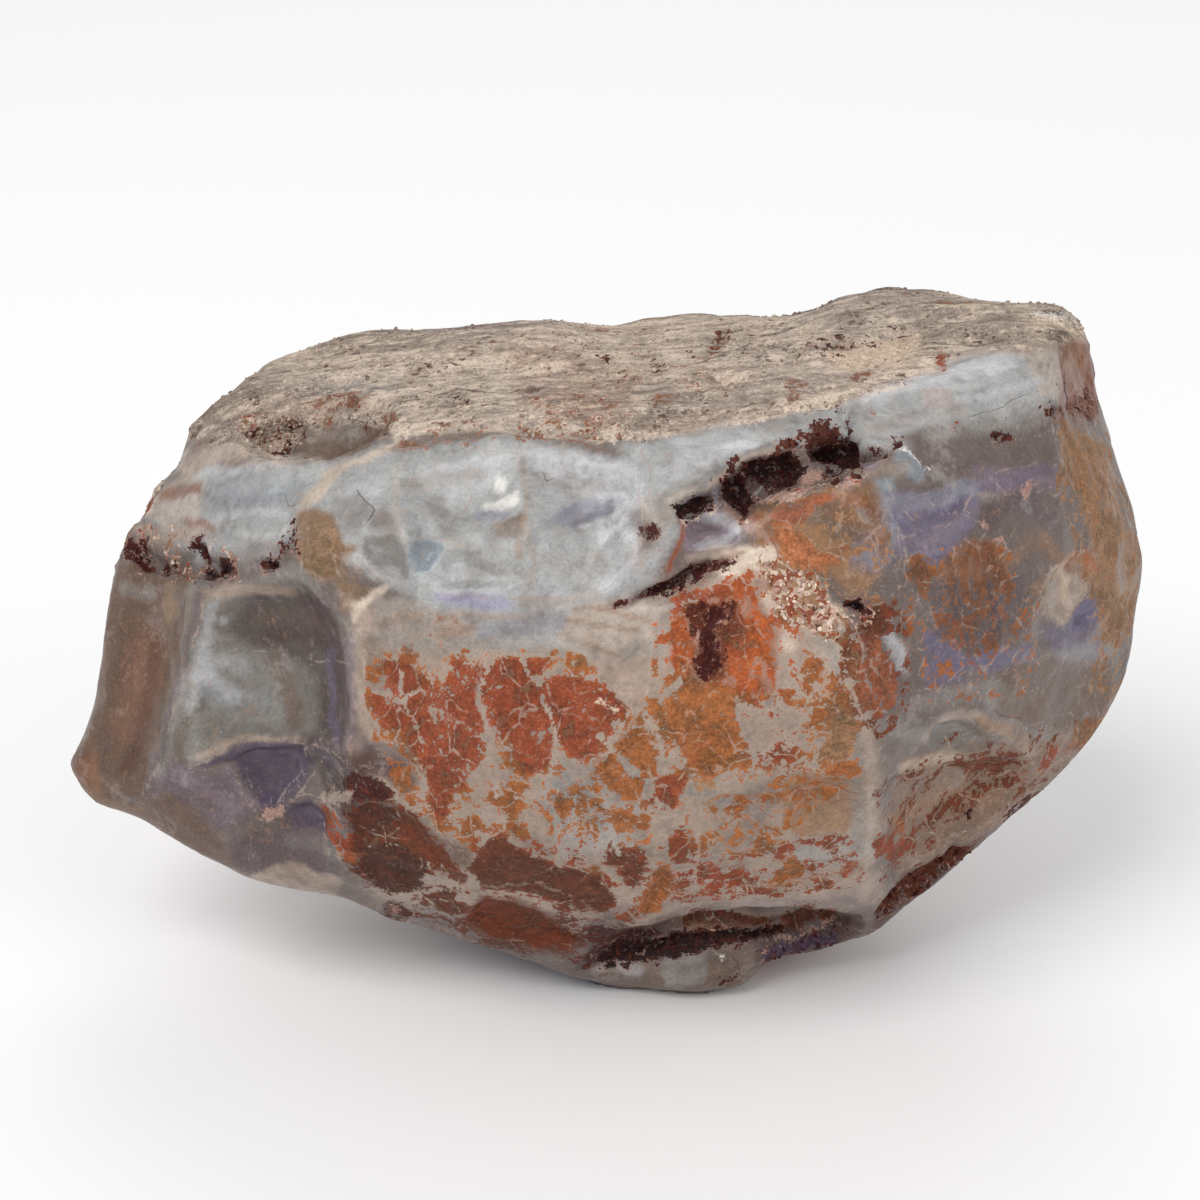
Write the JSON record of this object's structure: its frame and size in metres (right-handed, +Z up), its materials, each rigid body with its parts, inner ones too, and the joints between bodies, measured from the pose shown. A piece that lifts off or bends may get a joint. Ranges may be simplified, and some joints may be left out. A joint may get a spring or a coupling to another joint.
{
  "type": "rough opal",
  "caption": "Natural lump of rough opal with a stony crust on top, resting on a small flat spot under its belly.",
  "frame": {"origin": "under the middle of the stone's bounding box, on the surface that it rests on", "axes": "+X along the stone's length, towards its tall end; +Y from the pictured side to the hidden side; +Z up"},
  "size_m": [0.0598, 0.037, 0.0365],
  "materials": {
    "opal": "milky glassy opal stained ochre and rust, with a matt beige rock crust on top"
  },
  "bodies": {
    "root": {"opal": "opal"}
  },
  "joints": []
}
